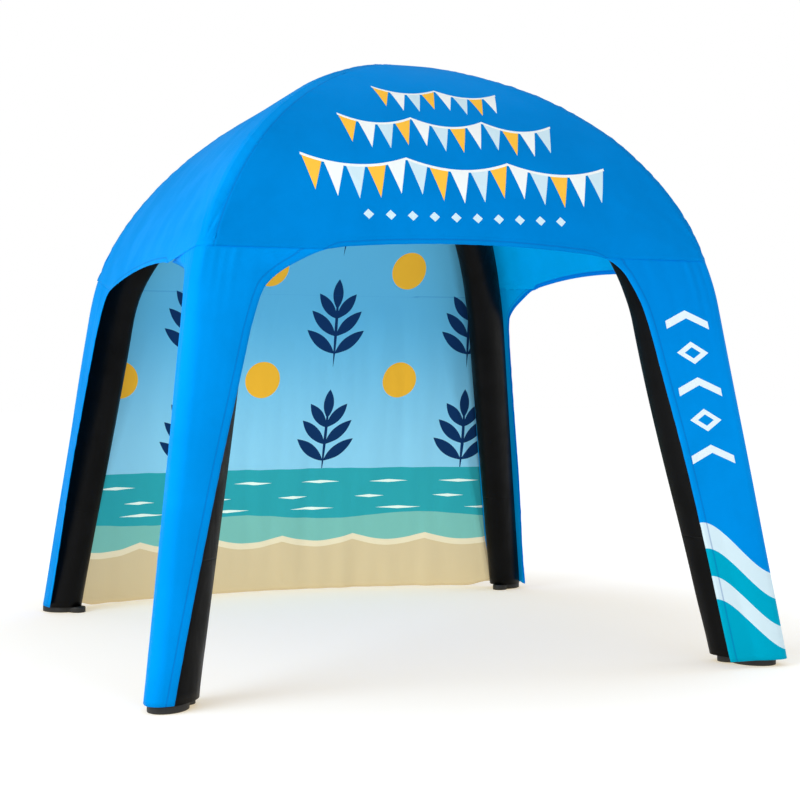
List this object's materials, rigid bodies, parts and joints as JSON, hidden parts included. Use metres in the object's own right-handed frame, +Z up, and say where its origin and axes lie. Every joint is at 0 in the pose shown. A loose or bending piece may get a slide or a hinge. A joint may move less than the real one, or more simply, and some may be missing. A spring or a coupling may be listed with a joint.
{
  "type": "inflatable cube tent",
  "caption": "Dome-roofed inflatable event tent: splayed air-filled legs that arch to a crown under a sewn printed canopy, with open arched doorways and a bowed rear wall.",
  "frame": {"origin": "on the floor, under the centre of the tent's bounding box", "axes": "+Z up; -Y out of the front doorway; +Y towards the rear wall; +X to the right of someone who faces +Y"},
  "size_m": [3.1804, 3.4556, 3.1],
  "materials": {
    "canopy_cloth": "taut printed polyester with a soft sheen",
    "wall_cloth": "matt printed polyester",
    "sleeve_cloth": "smooth black coated cloth",
    "foot_rubber": "matt black rubber"
  },
  "bodies": {
    "root": {"roof_front": "canopy_cloth", "roof_right": "canopy_cloth", "roof_rear": "canopy_cloth", "roof_left": "canopy_cloth", "leg_cover_front_left": "canopy_cloth", "leg_cover_front_right": "canopy_cloth", "leg_cover_rear_right": "canopy_cloth", "leg_cover_rear_left": "canopy_cloth", "leg_front_left": "sleeve_cloth", "leg_front_right": "sleeve_cloth", "leg_rear_right": "sleeve_cloth", "leg_rear_left": "sleeve_cloth", "crown_block": "sleeve_cloth", "foot_front_left": "foot_rubber", "foot_front_right": "foot_rubber", "foot_rear_right": "foot_rubber", "foot_rear_left": "foot_rubber", "rear_wall": "wall_cloth"}
  },
  "joints": []
}
